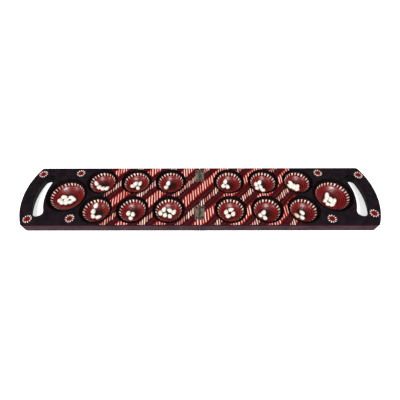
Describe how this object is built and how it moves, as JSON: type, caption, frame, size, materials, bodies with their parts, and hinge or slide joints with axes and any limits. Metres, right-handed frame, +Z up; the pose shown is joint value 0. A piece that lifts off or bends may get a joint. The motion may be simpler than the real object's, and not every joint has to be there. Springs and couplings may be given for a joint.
{
  "type": "mancala board",
  "caption": "Folding carved wooden mancala board: two painted halves on butt hinges, with round seed pits, end stores, handle slots and small shells as the seeds.",
  "frame": {"origin": "middle of the open board, on its underside", "axes": "+X along the open board from the left half to the right half, +Y to the rear side, +Z up out of the playing face"},
  "size_m": [0.66, 0.131, 0.0261],
  "materials": {
    "lacquered_wood": "glossy black and dark red lacquer over carved wood, painted with slanting bands of red and pink strokes",
    "hinge_steel": "dull plated steel with a slight green-brown tarnish",
    "screw_steel": "dull steel, slotted head",
    "shell": "smooth natural shell, ivory white"
  },
  "bodies": {
    "half_left": {"board_left": "lacquered_wood", "hinge_front_leaf_left": "hinge_steel", "hinge_front_pin": "hinge_steel", "hinge_front_screw_left_front": "screw_steel", "hinge_front_screw_left_rear": "screw_steel", "hinge_rear_leaf_left": "hinge_steel", "hinge_rear_pin": "hinge_steel", "hinge_rear_screw_left_front": "screw_steel", "hinge_rear_screw_left_rear": "screw_steel"},
    "half_right": {"board_right": "lacquered_wood", "hinge_front_leaf_right": "hinge_steel", "hinge_front_screw_right_front": "screw_steel", "hinge_front_screw_right_rear": "screw_steel", "hinge_rear_leaf_right": "hinge_steel", "hinge_rear_screw_right_front": "screw_steel", "hinge_rear_screw_right_rear": "screw_steel"},
    "seeds_left_rear_inner": {"seed_left_rear_inner_1": "shell", "seed_left_rear_inner_2": "shell"},
    "seeds_left_rear_middle": {"seed_left_rear_middle_1": "shell", "seed_left_rear_middle_2": "shell", "seed_left_rear_middle_3": "shell", "seed_left_rear_middle_4": "shell"},
    "seeds_left_rear_outer": {"seed_left_rear_outer_1": "shell", "seed_left_rear_outer_2": "shell", "seed_left_rear_outer_3": "shell", "seed_left_rear_outer_4": "shell"},
    "seeds_left_front_inner": {"seed_left_front_inner_1": "shell", "seed_left_front_inner_2": "shell", "seed_left_front_inner_3": "shell", "seed_left_front_inner_4": "shell", "seed_left_front_inner_5": "shell", "seed_left_front_inner_6": "shell"},
    "seeds_left_front_middle": {"seed_left_front_middle_1": "shell", "seed_left_front_middle_2": "shell", "seed_left_front_middle_3": "shell"},
    "seeds_left_front_outer": {"seed_left_front_outer_1": "shell", "seed_left_front_outer_2": "shell", "seed_left_front_outer_3": "shell", "seed_left_front_outer_4": "shell"},
    "seeds_left_store": {"seeds_left_store": "shell"},
    "seeds_right_rear_inner": {"seed_right_rear_inner_1": "shell", "seed_right_rear_inner_2": "shell", "seed_right_rear_inner_3": "shell"},
    "seeds_right_rear_middle": {"seed_right_rear_middle_1": "shell", "seed_right_rear_middle_2": "shell", "seed_right_rear_middle_3": "shell", "seed_right_rear_middle_4": "shell", "seed_right_rear_middle_5": "shell"},
    "seeds_right_rear_outer": {"seeds_right_rear_outer": "shell"},
    "seeds_right_front_inner": {"seed_right_front_inner_1": "shell", "seed_right_front_inner_2": "shell", "seed_right_front_inner_3": "shell", "seed_right_front_inner_4": "shell"},
    "seeds_right_front_middle": {"seed_right_front_middle_1": "shell", "seed_right_front_middle_2": "shell", "seed_right_front_middle_3": "shell"},
    "seeds_right_front_outer": {"seed_right_front_outer_1": "shell", "seed_right_front_outer_2": "shell", "seed_right_front_outer_3": "shell"},
    "seeds_right_store": {"seeds_right_store": "shell"}
  },
  "joints": [
    {"name": "fold", "type": "hinge", "parent": "half_left", "child": "half_right", "pos_m": [0, 0, 0.024], "axis": [0, 1, 0], "range_deg": [-180, 0]},
    {"name": "scoop_left_rear_inner", "type": "slide", "parent": "half_left", "child": "seeds_left_rear_inner", "axis": [0, 0, 1], "range_m": [0, 0.05]},
    {"name": "scoop_left_rear_middle", "type": "slide", "parent": "half_left", "child": "seeds_left_rear_middle", "axis": [0, 0, 1], "range_m": [0, 0.05]},
    {"name": "scoop_left_rear_outer", "type": "slide", "parent": "half_left", "child": "seeds_left_rear_outer", "axis": [0, 0, 1], "range_m": [0, 0.05]},
    {"name": "scoop_left_front_inner", "type": "slide", "parent": "half_left", "child": "seeds_left_front_inner", "axis": [0, 0, 1], "range_m": [0, 0.05]},
    {"name": "scoop_left_front_middle", "type": "slide", "parent": "half_left", "child": "seeds_left_front_middle", "axis": [0, 0, 1], "range_m": [0, 0.05]},
    {"name": "scoop_left_front_outer", "type": "slide", "parent": "half_left", "child": "seeds_left_front_outer", "axis": [0, 0, 1], "range_m": [0, 0.05]},
    {"name": "scoop_left_store", "type": "slide", "parent": "half_left", "child": "seeds_left_store", "axis": [0, 0, 1], "range_m": [0, 0.05]},
    {"name": "scoop_right_rear_inner", "type": "slide", "parent": "half_right", "child": "seeds_right_rear_inner", "axis": [0, 0, 1], "range_m": [0, 0.05]},
    {"name": "scoop_right_rear_middle", "type": "slide", "parent": "half_right", "child": "seeds_right_rear_middle", "axis": [0, 0, 1], "range_m": [0, 0.05]},
    {"name": "scoop_right_rear_outer", "type": "slide", "parent": "half_right", "child": "seeds_right_rear_outer", "axis": [0, 0, 1], "range_m": [0, 0.05]},
    {"name": "scoop_right_front_inner", "type": "slide", "parent": "half_right", "child": "seeds_right_front_inner", "axis": [0, 0, 1], "range_m": [0, 0.05]},
    {"name": "scoop_right_front_middle", "type": "slide", "parent": "half_right", "child": "seeds_right_front_middle", "axis": [0, 0, 1], "range_m": [0, 0.05]},
    {"name": "scoop_right_front_outer", "type": "slide", "parent": "half_right", "child": "seeds_right_front_outer", "axis": [0, 0, 1], "range_m": [0, 0.05]},
    {"name": "scoop_right_store", "type": "slide", "parent": "half_right", "child": "seeds_right_store", "axis": [0, 0, 1], "range_m": [0, 0.05]}
  ]
}
